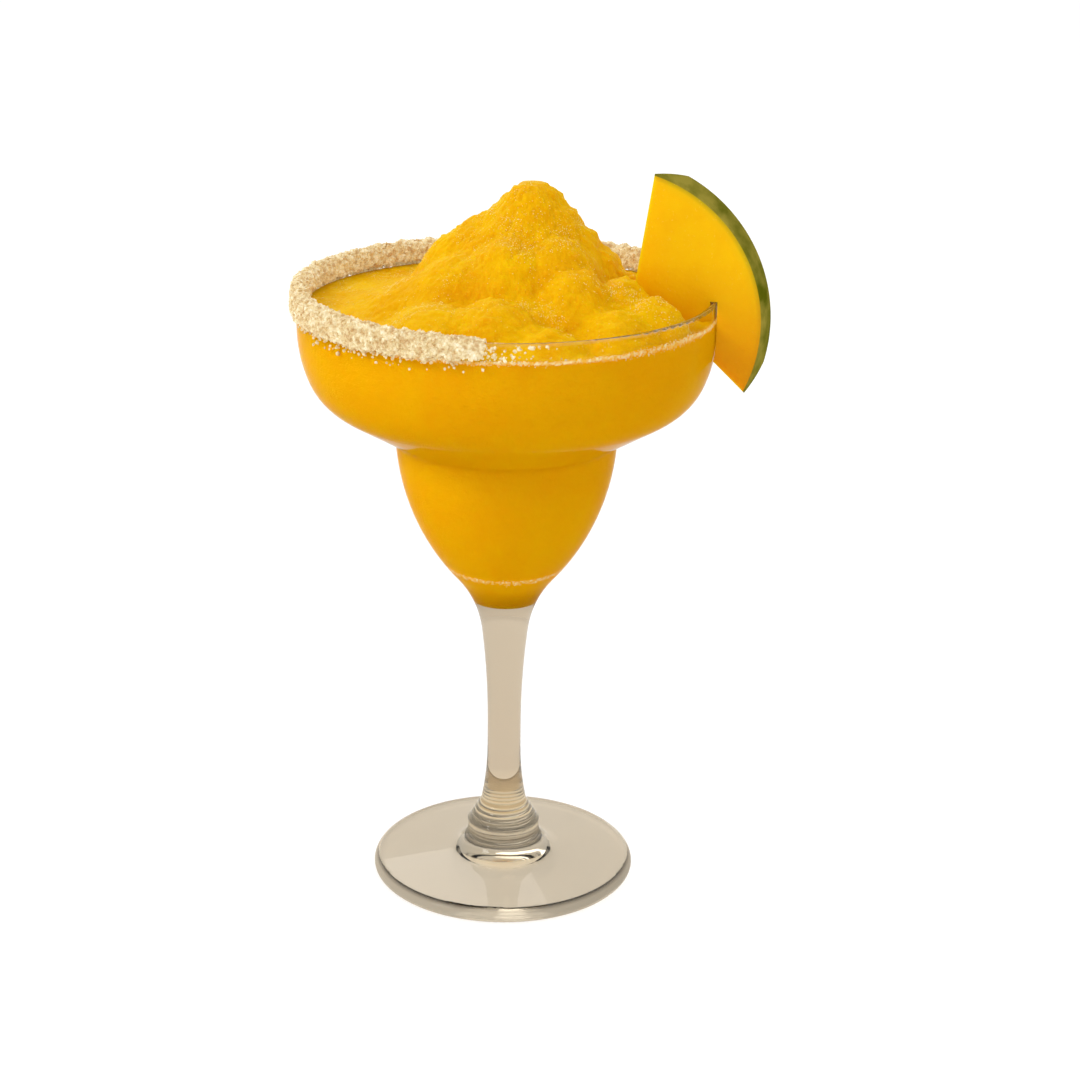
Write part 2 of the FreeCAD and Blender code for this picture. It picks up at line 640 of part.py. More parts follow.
def ragged(share, wave):
    """An uneven value between -1 and 1 round the rim, from three waves."""
    turn = 2 * math.pi * share
    return (math.sin(wave * turn + 1.3) + math.sin(wave * 1.83 * turn + 4.1) + math.sin(wave * 3.1 * turn)) / 3


def salt_section(share):
    """The corners of the crust of salt at a share of its sweep: its outside, then back along the glass."""
    angle = math.radians(size("salt_start") + share * size("salt_sweep"))
    full = min(1.0, SALT_FADES[0] * share, SALT_FADES[1] * (1 - share)) ** 0.5
    thin = SALT_END + (1 - SALT_END) * full
    short = (1 + thin) / 2
    rough = size("salt_ragged") * thin
    rim, wall, height, gap = size("rim_radius"), size("wall"), size("glass_height"), size("salt_gap")
    uneven = [rough * ragged(share, wave) for wave in SALT_WAVES]
    outer = rim + gap + size("salt_thick") * thin + uneven[0] / 2
    inner = rim - wall - gap - size("salt_inside") * thin + uneven[1] / 2
    top = height + gap + size("salt_thick") * thin + uneven[2] / 2
    outer_low = height - size("salt_drop") * short + 1.5 * uneven[3]
    inner_low = height - size("salt_inside_drop") * short + uneven[4] / 2
    corner = size("salt_thick") * thin / 3
    corners = [
        (rim + gap, outer_low + corner),
        (outer - corner, outer_low),
        (outer, outer_low + 2 * corner),
        (outer, height - corner),
        (outer - corner, height + 0.5 * (top - height)),
        (rim - 0.2 * wall, top),
        (rim - 0.8 * wall, top),
        (inner + corner, height + 0.5 * (top - height)),
        (inner, height - corner),
        (inner, inner_low + 2 * corner),
        (inner + corner, inner_low),
        (rim - wall - gap, inner_low + corner),
    ]
    lip = (wall / 2 + gap) / math.cos(math.radians(90 / LIP_STEPS))
    for step in range(LIP_STEPS):
        turn = math.radians(180 * (1 - (step + 0.5) / LIP_STEPS))
        corners.append((rim - wall / 2 + lip * math.cos(turn), height - wall / 2 + lip * math.sin(turn)))
    return [Vector(r * math.cos(angle), r * math.sin(angle), z) for r, z in corners]


def make_salt():
    """A crust over the lip that ends behind the wedge and just left of the front."""
    sections = [salt_section(step / SALT_STEPS) for step in range(SALT_STEPS + 1)]
    rails = []
    for points in zip(*sections):
        rail = Part.BSplineCurve()
        rail.interpolate(list(points))
        rails.append(rail.toShape())
    faces = [Part.makeRuledSurface(rail, rails[number - 1]) for number, rail in enumerate(rails)]
    for section in (sections[0], sections[-1]):
        faces.append(Part.Face(Part.makePolygon(section + section[:1])))
    shell = Part.makeShell([face for part in faces for face in part.Faces])
    shell.sewShape()
    crust = doc.addObject("Part::Feature", "salt_rim")
    crust.Shape = Part.makeSolid(shell)
    return crust


glass = make_glass()
pieces = [glass, make_slush(), make_wedge(), make_salt()]
doc.recompute()

for obj in doc.Objects:
    if "Invalid" in obj.State or "Error" in obj.State:
        raise RuntimeError("%s could not be built" % obj.Name)
for piece in pieces:
    if piece.Shape.isNull() or not piece.Shape.isValid():
        raise RuntimeError("%s is not a valid shape" % piece.Label)

os.makedirs("parts", exist_ok=True)
for piece in pieces:
    piece.Shape.exportStep("parts/%s.step" % piece.Label)
    print(piece.Label, len(piece.Shape.Solids), "solid", round(piece.Shape.Volume / 1000, 2), "cm3")
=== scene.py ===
"""Frozen mango margarita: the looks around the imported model. Metres, Z up, and -Y is the front."""

import math

import bmesh
import bpy
import numpy as np
from mathutils import Matrix, Vector, noise
from mathutils.bvhtree import BVHTree


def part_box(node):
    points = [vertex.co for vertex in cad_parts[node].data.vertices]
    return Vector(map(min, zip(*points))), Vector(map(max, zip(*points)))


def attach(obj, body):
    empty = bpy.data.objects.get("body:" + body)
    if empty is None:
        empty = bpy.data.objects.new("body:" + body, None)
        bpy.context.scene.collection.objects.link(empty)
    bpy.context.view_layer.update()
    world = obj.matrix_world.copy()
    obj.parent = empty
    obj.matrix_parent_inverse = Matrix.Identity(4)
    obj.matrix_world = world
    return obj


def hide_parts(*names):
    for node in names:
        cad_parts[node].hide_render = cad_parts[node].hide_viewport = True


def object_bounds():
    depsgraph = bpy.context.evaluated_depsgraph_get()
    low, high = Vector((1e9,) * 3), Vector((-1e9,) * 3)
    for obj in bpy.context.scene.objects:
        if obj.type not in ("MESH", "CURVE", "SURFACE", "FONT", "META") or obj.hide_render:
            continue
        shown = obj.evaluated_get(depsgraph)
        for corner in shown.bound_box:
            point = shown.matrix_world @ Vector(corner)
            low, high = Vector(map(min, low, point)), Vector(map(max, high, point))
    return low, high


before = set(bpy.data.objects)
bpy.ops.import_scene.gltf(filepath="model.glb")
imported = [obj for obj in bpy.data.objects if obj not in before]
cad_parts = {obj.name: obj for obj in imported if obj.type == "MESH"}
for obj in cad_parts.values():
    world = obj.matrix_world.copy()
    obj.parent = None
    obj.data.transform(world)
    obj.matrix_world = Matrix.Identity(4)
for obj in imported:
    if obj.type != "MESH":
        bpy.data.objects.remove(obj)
CAD_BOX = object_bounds()

MM = 0.001
BODY = "root"

# ---------------------------------------------------------------- measures read from the frame
GLASS_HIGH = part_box("glass")[1]
SLUSH_LOW, SLUSH_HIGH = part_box("slush")
RIM_RADIUS = GLASS_HIGH.x
RIM_HEIGHT = GLASS_HIGH.z
FOOT_TOP = 5 * MM
FOOT_RADIUS = max(v.co.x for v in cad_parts["glass"].data.vertices if v.co.z < FOOT_TOP)
INNER_RADIUS = SLUSH_HIGH.x
FLOOR_HEIGHT = SLUSH_LOW.z


# ---------------------------------------------------------------- helpers


def tree_of(node):
    """A search tree over a CAD node's faces."""
    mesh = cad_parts[node].data
    points = [v.co.copy() for v in mesh.vertices]
    return BVHTree.FromPolygons(points, [tuple(p.vertices) for p in mesh.polygons])


def new_piece(name, vertices, faces, material, node=None, smooth=True):
    """Makes a mesh object that rides on the body, in place of a CAD node if one is named."""
    mesh = bpy.data.meshes.new(name)
    mesh.from_pydata([tuple(v) for v in vertices], [], [tuple(f) for f in faces])
    mesh.validate()
    mesh.shade_smooth() if smooth else mesh.shade_flat()
    mesh.materials.append(material)
    piece = bpy.data.objects.new(name, mesh)
    bpy.context.scene.collection.objects.link(piece)
    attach(piece, BODY)
    if node:
        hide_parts(node)
    return piece


def grid_faces(rows, columns, start):
    """Quads of a grid whose columns close round, with its first vertex at start."""
    faces = []
    for i in range(rows - 1):
        for j in range(columns):
            k = (j + 1) % columns
            a, b = start + i * columns, start + (i + 1) * columns
            faces.append((a + j, b + j, b + k, a + k))
    return faces


def srgb(red, green, blue):
    """A screen colour, 0 to 255, as the linear colour that shaders use."""
    linear = []
    for value in (red, green, blue):
        share = value / 255
        linear.append(share / 12.92 if share <= 0.04045 else ((share + 0.055) / 1.055) ** 2.4)
    return (*linear, 1.0)


class Nodes:
    """A material's node tree, with short calls for what this scene uses."""

    def __init__(self, name):
        self.material = bpy.data.materials.new(name)
        self.material.use_nodes = True
        self.tree = self.material.node_tree
        self.tree.nodes.clear()
        self.output = self.add("ShaderNodeOutputMaterial")

    def add(self, kind, **settings):
        node = self.tree.nodes.new(kind)
        for key, value in settings.items():
            setattr(node, key, value)
        return node

    def link(self, source, target):
        self.tree.links.new(source, target)

    def principled(self, **values):
        shader = self.add("ShaderNodeBsdfPrincipled")
        for key, value in values.items():
            shader.inputs[key.replace("_", " ")].default_value = value
        self.link(shader.outputs[0], self.output.inputs["Surface"])
        return shader

    def position(self):
        return self.add("ShaderNodeTexCoord").outputs["Object"]

    def noise(self, scale, detail=4.0, roughness=0.55):
        node = self.add("ShaderNodeTexNoise")
        node.inputs["Scale"].default_value = scale
        node.inputs["Detail"].default_value = detail
        node.inputs["Roughness"].default_value = roughness
        self.link(self.position(), node.inputs["Vector"])
        return node.outputs["Fac"]

    def height(self):
        """The place's own height, in metres."""
        node = self.add("ShaderNodeSeparateXYZ")
        self.link(self.position(), node.inputs[0])
        return node.outputs["Z"]

    def blend(self, factor, first, second):
        """One shader mixed into another."""
        node = self.add("ShaderNodeMixShader")
        self.link(factor, node.inputs[0])
        self.link(first, node.inputs[1])
        self.link(second, node.inputs[2])
        return node.outputs[0]

    def ramp(self, source, *stops):
        """Colours or greys at places from 0 to 1."""
        node = self.add("ShaderNodeValToRGB")
        elements = node.color_ramp.elements
        while len(elements) < len(stops):
            elements.new(0.5)
        for element, (place, colour) in zip(elements, stops):
            element.position = place
            element.color = colour if isinstance(colour, tuple) else (colour, colour, colour, 1)
        self.link(source, node.inputs["Fac"])
        return node.outputs["Color"]

    def mix(self, factor, first, second):
        """One colour mixed into another."""
        node = self.add("ShaderNodeMix", data_type="RGBA")
        sockets = {s.identifier: s for s in node.inputs}
        for key, value in (("Factor_Float", factor), ("A_Color", first), ("B_Color", second)):
            if isinstance(value, bpy.types.NodeSocket):
                self.link(value, sockets[key])
            else:
                sockets[key].default_value = value
        return [s for s in node.outputs if s.identifier == "Result_Color"][0]

    def maths(self, operation, first, second):
        node = self.add("ShaderNodeMath", operation=operation)
        for number, value in enumerate((first, second)):
            if isinstance(value, bpy.types.NodeSocket):
                self.link(value, node.inputs[number])
            else:
                node.inputs[number].default_value = value
        return node.outputs[0]

    def bump(self, shader, height, strength, distance):
        node = self.add("ShaderNodeBump")
        node.inputs["Strength"].default_value = strength
        node.inputs["Distance"].default_value = distance
        self.link(height, node.inputs["Height"])
        self.link(node.outputs[0], shader.inputs["Normal"])


# ---------------------------------------------------------------- camera, light and floor

CAMERA_PLACE = (0.0, -0.6360, 0.3329)
CAMERA_PITCH, CAMERA_YAW, CAMERA_ROLL = 19.955, 0.876, 0.780
CAMERA_LENS, CAMERA_SENSOR, CAMERA_NEAR = 79.56, 36, 0.01

WORLD_COLOUR = (1.0, 0.985, 0.96, 1)
WORLD_DIM, WORLD_BRIGHT = 0.78, 0.96
WORLD_BRIGHT_SIDE = (-0.75, -0.35, 0.55)
HORIZON_GLOW = 0.2
HORIZON_FROM, HORIZON_TO = 0.05, 0.4

FLOOR_REACH = 12.0
FLOOR_DROP = 0.03 * MM
FLOOR_GREY, FLOOR_GLOW = (0.62, 0.62, 0.62, 1), 0.46

LIGHT_TARGET = (0, 0, 0.13)
# name, place, size across, power in watts
LIGHTS = (("key", (-0.9, -0.55, 0.95), 0.35, 4.0), ("back", (-0.2, 1.0, 0.9), 0.6, 2.0))


def make_camera():
    """The camera as it was fitted to the photo's rim, foot and outline."""
    data = bpy.data.cameras.new("camera")
    data.lens = CAMERA_LENS
    data.sensor_width = CAMERA_SENSOR
    data.clip_start = CAMERA_NEAR
    camera = bpy.data.objects.new("camera", data)
    turn = (
        Matrix.Rotation(math.radians(-CAMERA_YAW), 4, "Z")
        @ Matrix.Rotation(math.radians(90 - CAMERA_PITCH), 4, "X")
        @ Matrix.Rotation(math.radians(CAMERA_ROLL), 4, "Z")
    )
    camera.matrix_world = Matrix.Translation(CAMERA_PLACE) @ turn
    bpy.context.scene.collection.objects.link(camera)
    bpy.context.scene.camera = camera


def area_light(name, place, size, power):
    """A round lamp that points at the middle of the drink."""
    data = bpy.data.lights.new(name, "AREA")
    data.shape = "DISK"
    data.size = size
    data.energy = power
    light = bpy.data.objects.new(name, data)
    light.location = place
    way = Vector(LIGHT_TARGET) - Vector(place)
    light.rotation_euler = way.to_track_quat("-Z", "Y").to_euler()
    bpy.context.scene.collection.objects.link(light)


def map_range(tree, source, source_range, target_range):
    """A node that carries a value from one range to another."""
    node = tree.nodes.new("ShaderNodeMapRange")
    node.inputs["From Min"].default_value, node.inputs["From Max"].default_value = source_range
    node.inputs["To Min"].default_value, node.inputs["To Max"].default_value = target_range
    tree.links.new(source, node.inputs["Value"])
    return node.outputs["Result"]


def make_world():
    """A white studio, brighter at the upper left and along the horizon."""
    world = bpy.data.worlds.new("studio")
    bpy.context.scene.world = world
    world.use_nodes = True
    tree = world.node_tree
    tree.nodes.clear()
    out = tree.nodes.new("ShaderNodeOutputWorld")
    back = tree.nodes.new("ShaderNodeBackground")
    back.inputs["Color"].default_value = WORLD_COLOUR
    way = tree.nodes.new("ShaderNodeTexCoord").outputs["Generated"]
    along = tree.nodes.new("ShaderNodeVectorMath")
    along.operation = "DOT_PRODUCT"
    along.inputs[1].default_value = WORLD_BRIGHT_SIDE
    tree.links.new(way, along.inputs[0])
    side = map_range(tree, along.outputs["Value"], (-1.0, 1.0), (WORLD_DIM, WORLD_BRIGHT))
    split = tree.nodes.new("ShaderNodeSeparateXYZ")
    tree.links.new(way, split.inputs[0])
    low = map_range(tree, split.outputs["Z"], (HORIZON_FROM, HORIZON_TO), (HORIZON_GLOW, 0.0))
    total = tree.nodes.new("ShaderNodeMath")
    tree.links.new(side, total.inputs[0])
    tree.links.new(low, total.inputs[1])
    tree.links.new(total.outputs[0], back.inputs["Strength"])
    tree.links.new(back.outputs[0], out.inputs["Surface"])


def make_floor():
    """A white sweep that glows a little itself, so it stays white to the frame's edge."""
    nodes = Nodes("pale_floor")
    shader = nodes.principled(Base_Color=FLOOR_GREY, Roughness=1.0)
    shader.inputs["Specular IOR Level"].default_value = 0.0
    shader.inputs["Emission Color"].default_value = (1, 1, 1, 1)
    shader.inputs["Emission Strength"].default_value = FLOOR_GLOW
    mesh = bpy.data.meshes.new("floor")
    signs = ((-1, -1), (1, -1), (1, 1), (-1, 1))
    corners = [(x * FLOOR_REACH, y * FLOOR_REACH, -FLOOR_DROP) for x, y in signs]
    mesh.from_pydata(corners, [], [(0, 1, 2, 3)])
    mesh.materials.append(nodes.material)
    floor = bpy.data.objects.new("floor", mesh)
    bpy.context.scene.collection.objects.link(floor)


def make_stage():
    """Everything round the drink: camera, light and floor."""
    make_camera()
    make_world()
    make_floor()
    for name, place, size, power in LIGHTS:
        area_light(name, place, size, power)
    bpy.context.scene.view_settings.view_transform = "Standard"


# ---------------------------------------------------------------- materials

# Glass
GLASS_IOR = 1.5
GLASS_ROUGHNESS = 0.03
SHINE_POWER, LIP_SHINE_POWER, STEM_SHINE_POWER = 2.6, 0.9, 1.3
FOOT_TINT, STEM_TINT = (0.81, 0.767, 0.69, 1), (0.74, 0.675, 0.58, 1)
BOWL_TINT = (0.995, 0.99, 0.98, 1)
AMBER_TINT = (0.95, 0.87, 0.72, 1)
# Painted light round the foot's edge: a pale diffuse colour and its share
EDGE_PAINTED_LIGHT, EDGE_PAINTED_SHARE = (0.72, 0.63, 0.49, 1), 0.55
SOLID = FLOOR_HEIGHT / RIM_HEIGHT
# Heights as shares of the rim's height, and radii as shares of the foot's
FOOT_TINT_TOP, STEM_TINT_FROM = 0.035, 0.12
STEM_TINT_TO, BOWL_TINT_FROM = SOLID + 0.01, SOLID + 0.04
AMBER_RADIUS, AMBER_HEIGHT = (0.24, 0.36), (0.12, 0.17)
LIP_FROM, LIP_TO = 1 - 1.3 * MM / RIM_HEIGHT, 1 - 1.0 * MM / RIM_HEIGHT
STEM_FADE = 0.02
EDGE_RADIUS, EDGE_HEIGHT = (0.95, 0.985), (0.03, 0.04)

# Drink, ice, froth and salt: colours are screen values, noise is (scale per metre, detail, roughness)
WATER_IOR, ICE_IOR, SALT_IOR, FRUIT_IOR = 1.33, 1.31, 1.5, 1.36
DEEP_GLOW = (1.0, 0.6, 0.1)
SLUSH_TOP = ((231, 168, 0), (240, 188, 0), (248, 205, 40))
# The drink behind the glass: painted lighter than the top, with a painted glow, to make up for light
# lost in the glass
SLUSH_SIDE_PAINTED_LIGHTER = ((245, 182, 0), (249, 191, 0), (251, 200, 20))
SIDE_PAINTED_GLOW = 0.10
SLUSH_CLOUD, SLUSH_FROST = (70, 3), (1100, 5, 0.7)
SLUSH_COARSE, SLUSH_FINE, SLUSH_FINE_SHARE = (600, 4, 0.65), (2200, 3, 0.6), 0.5
SLUSH_BUMP = (0.75, 0.6 * MM)
ICE_DEEP, ICE_PALE, ICE_CLOUD = (250, 205, 60), (255, 236, 150), (300, 2)
SALT_DEEP, SALT_MID, SALT_PALE = (188, 150, 98), (215, 195, 148), (238, 228, 200)
SALT_SCATTER = (1.0, 0.8, 0.5)
SALT_CLOUD, SALT_GRAIN, SALT_BUMP = (650, 4, 0.7), (1800, 4, 0.6), (0.6, 0.5 * MM)
# Painted glows: the salt and the froth give off light in their own colours
SALT_PAINTED_GLOW, FROTH_PAINTED_GLOW = 0.24, 0.22
FROTH_AND_HIGHLIGHT_DEEP, FROTH_AND_HIGHLIGHT_PALE, FROTH_CLOUD = (248, 205, 90), (255, 240, 200), (700, 3)

# Mango: shares of the fruit's radius, and of twice the rim's height
FLESH, FLESH_DEEP = (243, 192, 0), (236, 170, 0)
FLESH_EDGE, SKIN_LINE = (236, 192, 8), (190, 165, 20)
FLESH_PAINTED_SHADE, FLESH_SPECK_AND_GLINT = (214, 138, 0), (255, 216, 90)
FLESH_CLOUD, FLESH_SPECK_AND_GLINT_NOISE, FLESH_GRAIN = (220, 4), (1300, 3, 0.7), (900, 4)
FLESH_BUMP, FLESH_SCATTER, FLESH_SHINE = (0.35, 0.4 * MM), 0.5, 0.1
PAINTED_SHADE_HEIGHT = (0.455, 0.53)
SKIN_DARK, SKIN_PALE, SKIN_CLOUD = (88, 92, 12), (150, 138, 56), (120, 4)
SKIN_FROM = (0.989, 0.992)


def glass_material():
    """Clear glass, warm where it is solid in the foot and stem. Light reaches the drink through it."""
    nodes = Nodes("clear_glass")
    up = nodes.maths("DIVIDE", nodes.height(), RIM_HEIGHT)
    flat = nodes.add("ShaderNodeVectorMath", operation="MULTIPLY")
    nodes.link(nodes.position(), flat.inputs[0])
    flat.inputs[1].default_value = (1, 1, 0)
    length = nodes.add("ShaderNodeVectorMath", operation="LENGTH")
    nodes.link(flat.outputs[0], length.inputs[0])
    radius = nodes.maths("DIVIDE", length.outputs["Value"], FOOT_RADIUS)

    through = nodes.add("ShaderNodeBsdfRefraction")
    through.inputs["Roughness"].default_value = 0.0
    through.inputs["IOR"].default_value = GLASS_IOR
    tint = nodes.ramp(
        up,
        (FOOT_TINT_TOP, FOOT_TINT),
        (STEM_TINT_FROM, STEM_TINT),
        (STEM_TINT_TO, STEM_TINT),
        (BOWL_TINT_FROM, BOWL_TINT),
    )
    near = nodes.ramp(radius, (AMBER_RADIUS[0], 1.0), (AMBER_RADIUS[1], 0.0))
    low = nodes.ramp(up, (AMBER_HEIGHT[0], 1.0), (AMBER_HEIGHT[1], 0.0))
    tint = nodes.mix(nodes.maths("MULTIPLY", near, low), tint, AMBER_TINT)
    nodes.link(tint, through.inputs["Color"])

    # The mirror's share falls off more slowly at the lip and down the stem
    shine = nodes.add("ShaderNodeBsdfAnisotropic")
    shine.inputs["Roughness"].default_value = GLASS_ROUGHNESS
    edge = nodes.add("ShaderNodeFresnel")
    edge.inputs["IOR"].default_value = GLASS_IOR
    lip = nodes.ramp(up, (LIP_FROM, 0.0), (LIP_TO, 1.0))
    less = nodes.maths("MULTIPLY", lip, SHINE_POWER - LIP_SHINE_POWER)
    power = nodes.maths("SUBTRACT", SHINE_POWER, less)
    stem = nodes.ramp(up, (SOLID - STEM_FADE, 1.0), (SOLID + STEM_FADE, 0.0))
    less = nodes.maths("MULTIPLY", stem, SHINE_POWER - STEM_SHINE_POWER)
    power = nodes.maths("SUBTRACT", power, less)
    share = nodes.maths("POWER", edge.outputs[0], power)
    clear = nodes.blend(share, through.outputs[0], shine.outputs[0])

    # Painted light: a pale diffuse share round the foot's edge, standing in for light caught in the rim
    # of the foot
    pale = nodes.add("ShaderNodeBsdfDiffuse")
    pale.inputs["Color"].default_value = EDGE_PAINTED_LIGHT
    outer = nodes.ramp(radius, (EDGE_RADIUS[0], 0.0), (EDGE_RADIUS[1], EDGE_PAINTED_SHARE))
    at_foot = nodes.ramp(up, (EDGE_HEIGHT[0], 1.0), (EDGE_HEIGHT[1], 0.0))
    mixed = nodes.blend(nodes.maths("MULTIPLY", outer, at_foot), clear, pale.outputs[0])

    lit = nodes.add("ShaderNodeBsdfTransparent")
    rays = nodes.add("ShaderNodeLightPath")
    both = nodes.blend(rays.outputs["Is Shadow Ray"], mixed, lit.outputs[0])
    nodes.link(both, nodes.output.inputs["Surface"])
    return nodes.material


def slush_material(name, deep, pale, frosty, painted_glow=0.0):
    """Frozen mango drink: deep yellow orange, paler where it is frosty, with fine ice in it, and a
    painted glow where one is given.
    """
    nodes = Nodes(name)
    shader = nodes.principled(
        Roughness=0.5, Subsurface_Weight=0.7, Subsurface_Scale=1.8 * MM, IOR=WATER_IOR
    )
    shader.inputs["Subsurface Radius"].default_value = DEEP_GLOW
    shader.inputs["Specular IOR Level"].default_value = 0.06
    # Painted glow in the pale colour, where one is given
    shader.inputs["Emission Color"].default_value = srgb(*pale)
    shader.inputs["Emission Strength"].default_value = painted_glow
    base = nodes.ramp(nodes.noise(*SLUSH_CLOUD), (0.35, srgb(*deep)), (0.65, srgb(*pale)))
    frost = nodes.ramp(nodes.noise(*SLUSH_FROST), (0.53, 0.0), (0.72, 0.55))
    nodes.link(nodes.mix(frost, base, srgb(*frosty)), shader.inputs["Base Color"])
    coarse = nodes.noise(*SLUSH_COARSE)
    fine = nodes.maths("MULTIPLY", nodes.noise(*SLUSH_FINE), SLUSH_FINE_SHARE)
    nodes.bump(shader, nodes.maths("ADD", coarse, fine), *SLUSH_BUMP)
    return nodes.material


def ice_material():
    """Tiny pale chips of ice."""
    nodes = Nodes("ice_grains")
    shader = nodes.principled(Roughness=0.2, IOR=ICE_IOR)
    cloud = nodes.noise(*ICE_CLOUD)
    colour = nodes.ramp(cloud, (0.4, srgb(*ICE_DEEP)), (0.65, srgb(*ICE_PALE)))
    nodes.link(colour, shader.inputs["Base Color"])
    return nodes.material


def salt_material():
    """Coarse salt, cream coloured from the drink, ochre in random patches, with a painted glow that
    lifts its shade.
    """
    nodes = Nodes("salt")
    shader = nodes.principled(
        Roughness=0.4, Subsurface_Weight=0.25, Subsurface_Scale=0.8 * MM, IOR=SALT_IOR
    )
    shader.inputs["Subsurface Radius"].default_value = SALT_SCATTER
    colour = nodes.ramp(
        nodes.noise(*SALT_CLOUD),
        (0.36, srgb(*SALT_DEEP)),
        (0.5, srgb(*SALT_MID)),
        (0.66, srgb(*SALT_PALE)),
    )
    nodes.link(colour, shader.inputs["Base Color"])
    # Painted glow: the salt gives off light in its own colour, lifting its shade
    nodes.link(colour, shader.inputs["Emission Color"])
    shader.inputs["Emission Strength"].default_value = SALT_PAINTED_GLOW
    nodes.bump(shader, nodes.noise(*SALT_GRAIN), *SALT_BUMP)
    return nodes.material


def froth_and_highlight_material():
    """The fine pale froth that dries on the glass, whose grains also make the painted highlight ring
    low in the cone.
    """
    nodes = Nodes("froth")
    shader = nodes.principled(Roughness=0.5, IOR=WATER_IOR)
    cloud = nodes.noise(*FROTH_CLOUD)
    colour = nodes.ramp(cloud, (0.4, srgb(*FROTH_AND_HIGHLIGHT_DEEP)), (0.62, srgb(*FROTH_AND_HIGHLIGHT_PALE)))
    nodes.link(colour, shader.inputs["Base Color"])
    # Painted glow: the grains give off light in their own colour
    nodes.link(colour, shader.inputs["Emission Color"])
    shader.inputs["Emission Strength"].default_value = FROTH_PAINTED_GLOW
    return nodes.material


def mango_material(centre, radius):
    """Orange flesh under a thin skin, told apart by the distance from the fruit's middle."""
    nodes = Nodes("mango_flesh")
    shader = nodes.principled(Roughness=0.42, Subsurface_Scale=1.8 * MM, IOR=FRUIT_IOR)
    shader.inputs["Subsurface Radius"].default_value = DEEP_GLOW
    away = nodes.add("ShaderNodeVectorMath", operation="DISTANCE")
    nodes.link(nodes.position(), away.inputs[0])
    away.inputs[1].default_value = centre
    share = nodes.maths("DIVIDE", away.outputs["Value"], radius)
    flesh = nodes.ramp(
        share,
        (0.4, srgb(*FLESH)),
        (0.93, srgb(*FLESH)),
        (0.965, srgb(*FLESH_EDGE)),
        (0.988, srgb(*SKIN_LINE)),
    )
    mottle = nodes.ramp(nodes.noise(*FLESH_CLOUD), (0.4, 0.0), (0.7, 0.3))
    flesh = nodes.mix(mottle, flesh, srgb(*FLESH_DEEP))
    # Pale specks: partly the flesh's own fleck, partly painted wet glints
    specks_and_glints = nodes.ramp(nodes.noise(*FLESH_SPECK_AND_GLINT_NOISE), (0.62, 0.0), (0.72, 0.4))
    flesh = nodes.mix(specks_and_glints, flesh, srgb(*FLESH_SPECK_AND_GLINT))
    # Painted shade: the flesh darkens towards its lower part
    rise = nodes.maths("DIVIDE", nodes.height(), 2 * RIM_HEIGHT)
    painted_shade = nodes.ramp(rise, (PAINTED_SHADE_HEIGHT[0], 0.85), (PAINTED_SHADE_HEIGHT[1], 0.0))
    flesh = nodes.mix(painted_shade, flesh, srgb(*FLESH_PAINTED_SHADE))
    cloud = nodes.noise(*SKIN_CLOUD)
    skin_tone = nodes.ramp(cloud, (0.35, srgb(*SKIN_DARK)), (0.65, srgb(*SKIN_PALE)))
    skin = nodes.ramp(share, (SKIN_FROM[0], 0.0), (SKIN_FROM[1], 1.0))
    nodes.link(nodes.mix(skin, flesh, skin_tone), shader.inputs["Base Color"])
    wet = nodes.maths("SUBTRACT", 1.0, skin)
    scatter_share = nodes.maths("MULTIPLY", wet, FLESH_SCATTER)
    nodes.link(scatter_share, shader.inputs["Subsurface Weight"])
    nodes.link(nodes.maths("MULTIPLY", wet, FLESH_SHINE), shader.inputs["Specular IOR Level"])
    nodes.bump(shader, nodes.noise(*FLESH_GRAIN), *FLESH_BUMP)
    return nodes.material


# ---------------------------------------------------------------- the frozen drink

SPOKES, RINGS, SIDE_ROWS = 480, 105, 62
INTO_WALL = 0.35 * MM
FILL_DROP = 5.1 * MM
ABOVE_ALL = 0.3

WALL_START, WALL_STEP = 0.02 * MM, 0.2 * MM
TOP_INSET = 0.15 * MM
UNDER_WEDGE_STEPS, CREASE_STEPS = 400, 90
CREASE_LEFT, CREASE_RIGHT = 0.1, 1.0
RIGHT_FROM, RIGHT_WIDTH = -22 * MM, 40 * MM
EDGE_FADE_RINGS = 5
# Sizes of the clumps, knobs, grain and fine grain, in millimetres, and their heights
CLUMP_SIZE, KNOB_SIZE, GRAIN_SIZE, FINE_SIZE = 8.5, 3.6, 1.6, 0.8
CLUMP_HEIGHT, CLUMP_RIGHT = 0.5, 1.1
KNOB_HEIGHT, KNOB_RIGHT = 0.7, 0.3
GRAIN_HEIGHT, FINE_HEIGHT = 0.40, 0.26
FOLD = 0.2
KNOB_SHIFT, FINE_SHIFT = Vector((7, 3, 1)), Vector((1, 5, 9))


def wall_profile(tree):
    """(radius, height) down the bowl's inside, from the drink's level to its floor, in even steps."""
    points = []
    height = SLUSH_LOW.z + WALL_START
    while height < RIM_HEIGHT - FILL_DROP:
        hit = tree.ray_cast(Vector((0, 0, height)), Vector((-1, 0, 0)))[0]
        if hit:
            points.append((abs(hit.x), height))
        height += WALL_STEP
    points = np.array(points[::-1])
    step = np.gradient(points, axis=0)
    normal = np.stack([-step[:, 1], step[:, 0]], 1) / np.linalg.norm(step, axis=1)[:, None]
    points = points + normal * INTO_WALL
    length = np.concatenate([[0], np.cumsum(np.linalg.norm(np.diff(points, axis=0), axis=1))])
    even = np.linspace(0, length[-1], SIDE_ROWS)
    return np.stack([np.interp(even, length, points[:, k]) for k in (0, 1)], 1)


def neighbour_mean(height):
    """The mean of each place's neighbours, along its ring and along its spoke."""
    mean = (np.roll(height, 1, 1) + np.roll(height, -1, 1)) / 2
    mean[1:-1] = mean[1:-1] / 2 + (height[:-2] + height[2:]) / 4
    return mean


